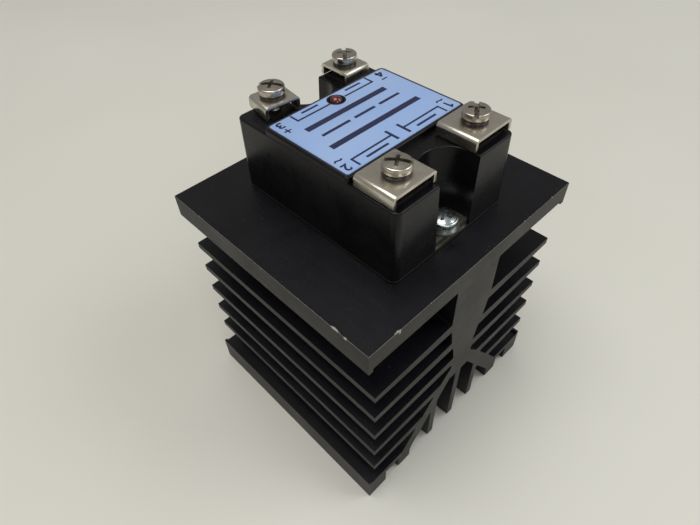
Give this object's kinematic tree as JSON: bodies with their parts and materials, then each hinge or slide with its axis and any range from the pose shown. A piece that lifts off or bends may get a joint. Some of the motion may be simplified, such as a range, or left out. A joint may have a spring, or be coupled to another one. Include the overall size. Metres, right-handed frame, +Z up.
{
  "type": "solid state relay on heatsink",
  "caption": "Solid state relay in a black moulded case with saddle clamp screw terminals and a status lamp, screwed to a black finned aluminium heatsink.",
  "frame": {"origin": "on the floor under the middle of the heatsink", "axes": "+Z up; X across the extruded profile; Y along the extrusion, with load terminals 1 and 2 at -Y and control terminals 3 and 4 at +Y"},
  "size_m": [0.0844, 0.08, 0.1142],
  "materials": {
    "black_anodised": "black anodised extrusion, satin",
    "thermal_compound": "grey-white filled silicone sheet",
    "bare_aluminium": "plain rolled plate",
    "black_housing": "moulded, semi gloss",
    "blue_label": "printed film, satin",
    "red_lens": "tinted epoxy",
    "nickel_plate": "nickel plated steel strip, warm",
    "nickel_screw": "nickel plated, polished head",
    "spring_steel": "dark phosphated spring steel",
    "bright_zinc": "bright zinc plated steel",
    "brass": "turned brass",
    "tinned_copper": "tin plated copper strip",
    "white_ceramic": "alumina tile",
    "silicon": "passivated chip",
    "green_board": "solder masked laminate",
    "black_component": "moulded epoxy",
    "yellow_component": "dipped film capacitor",
    "beige_component": "lacquered resistor body"
  },
  "bodies": {
    "heatsink_and_relay": {"heatsink": "black_anodised", "thermal_pad": "thermal_compound", "base_plate": "bare_aluminium", "housing": "black_housing", "label": "blue_label", "status_lamp": "red_lens", "terminal_inserts": "brass", "terminal_plate_1": "tinned_copper", "terminal_plate_2": "tinned_copper", "terminal_plate_3": "tinned_copper", "terminal_plate_4": "tinned_copper", "mounting_screws": "bright_zinc", "mounting_washers": "bright_zinc", "mounting_spring_washers": "spring_steel", "ceramic_substrate": "white_ceramic", "thyristor_1": "silicon", "thyristor_2": "silicon", "load_lead_1": "tinned_copper", "load_lead_2": "tinned_copper", "control_lead_3": "tinned_copper", "control_lead_4": "tinned_copper", "gate_pins": "tinned_copper", "circuit_board": "green_board", "optocoupler": "black_component", "snubber_capacitor": "yellow_component", "resistors": "beige_component", "snubber_resistor": "beige_component"},
    "clamp_1": {"terminal_clamp_1": "nickel_plate", "terminal_spring_washer_1": "spring_steel"},
    "screw_1": {"terminal_screw_1": "nickel_screw"},
    "clamp_2": {"terminal_clamp_2": "nickel_plate", "terminal_spring_washer_2": "spring_steel"},
    "screw_2": {"terminal_screw_2": "nickel_screw"},
    "clamp_3": {"terminal_clamp_3": "nickel_plate", "terminal_spring_washer_3": "spring_steel"},
    "screw_3": {"terminal_screw_3": "nickel_screw"},
    "clamp_4": {"terminal_clamp_4": "nickel_plate", "terminal_spring_washer_4": "spring_steel"},
    "screw_4": {"terminal_screw_4": "nickel_screw"}
  },
  "joints": [
    {"name": "clamp_1_lift", "type": "slide", "parent": "heatsink_and_relay", "child": "clamp_1", "axis": [0, 0, 1], "range_m": [0, 0.003]},
    {"name": "screw_1_turn", "type": "hinge", "parent": "clamp_1", "child": "screw_1", "pos_m": [0.01405, -0.02233, 0.1106], "axis": [0, 0, 1], "range_deg": [0, 1545]},
    {"name": "clamp_2_lift", "type": "slide", "parent": "heatsink_and_relay", "child": "clamp_2", "axis": [0, 0, 1], "range_m": [0, 0.003]},
    {"name": "screw_2_turn", "type": "hinge", "parent": "clamp_2", "child": "screw_2", "pos_m": [-0.01485, -0.02233, 0.1103], "axis": [0, 0, 1], "range_deg": [0, 1545]},
    {"name": "clamp_3_lift", "type": "slide", "parent": "heatsink_and_relay", "child": "clamp_3", "axis": [0, 0, 1], "range_m": [0, 0.003]},
    {"name": "screw_3_turn", "type": "hinge", "parent": "clamp_3", "child": "screw_3", "pos_m": [-0.0135, 0.02382, 0.1109], "axis": [0, 0, 1], "range_deg": [0, 1545]},
    {"name": "clamp_4_lift", "type": "slide", "parent": "heatsink_and_relay", "child": "clamp_4", "axis": [0, 0, 1], "range_m": [0, 0.003]},
    {"name": "screw_4_turn", "type": "hinge", "parent": "clamp_4", "child": "screw_4", "pos_m": [0.01295, 0.02327, 0.1104], "axis": [0, 0, 1], "range_deg": [0, 1545]}
  ],
  "couplings": [
    {"joint": "screw_1_turn", "follows": "clamp_1_lift", "rad_per_m": 8976},
    {"joint": "screw_2_turn", "follows": "clamp_2_lift", "rad_per_m": 8976},
    {"joint": "screw_3_turn", "follows": "clamp_3_lift", "rad_per_m": 8976},
    {"joint": "screw_4_turn", "follows": "clamp_4_lift", "rad_per_m": 8976}
  ]
}
